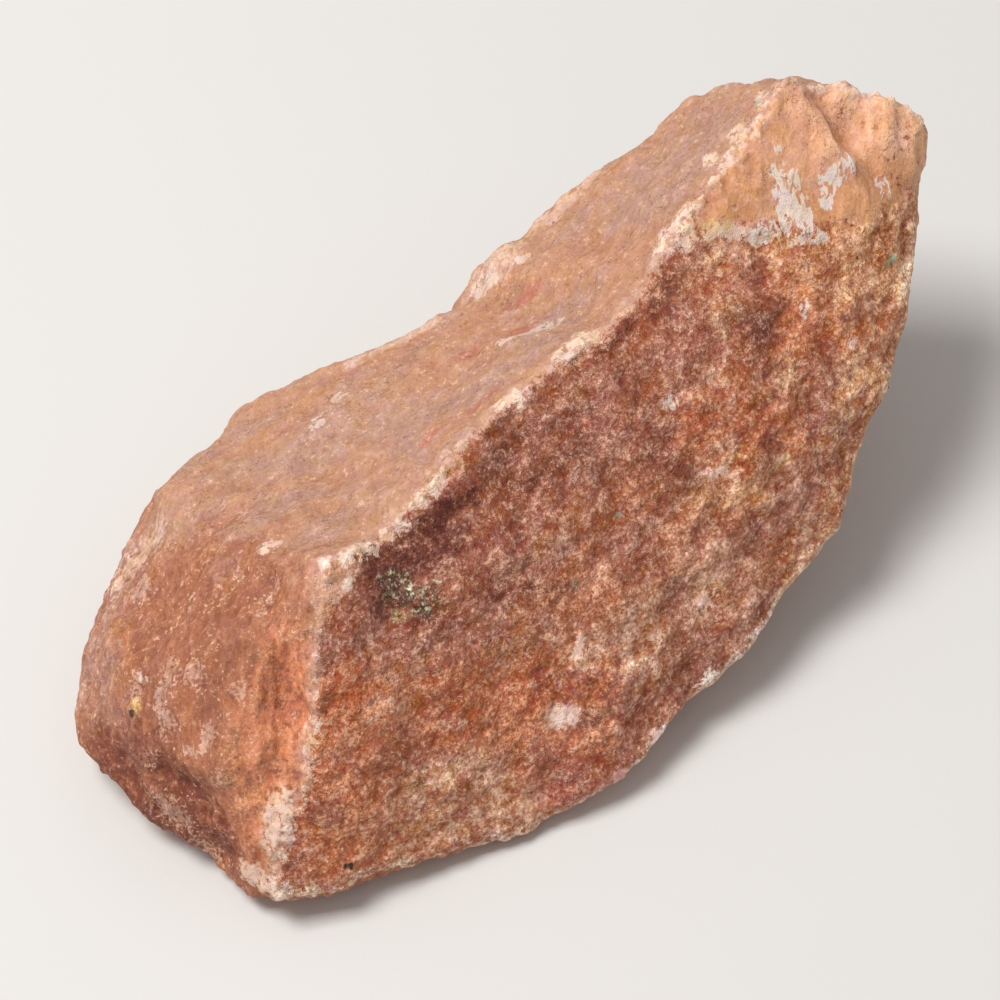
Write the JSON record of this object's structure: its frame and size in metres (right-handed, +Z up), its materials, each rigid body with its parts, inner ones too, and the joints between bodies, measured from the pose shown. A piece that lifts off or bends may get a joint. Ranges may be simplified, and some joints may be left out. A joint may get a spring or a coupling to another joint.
{
  "type": "rough stone",
  "caption": "Rough wedge-shaped lump of pinkish-brown rock with a sharp crest, a broad grainy front face, a smoother top and a hollowed end; it lies on its underside.",
  "frame": {"origin": "centre of the bounding box of the stone, on the ground it lies on", "axes": "+X along the stone towards its raised, overhanging end; +Z up; the broad grainy face looks towards -Y"},
  "size_m": [0.108, 0.057, 0.0476],
  "materials": {
    "stone": "matt, salmon pink to mauve brown; grainy on the broken front face, waxy and streaked on the top face and left end, with a thin whitish crust along the edges"
  },
  "bodies": {
    "root": {"rough_stone": "stone"}
  },
  "joints": []
}
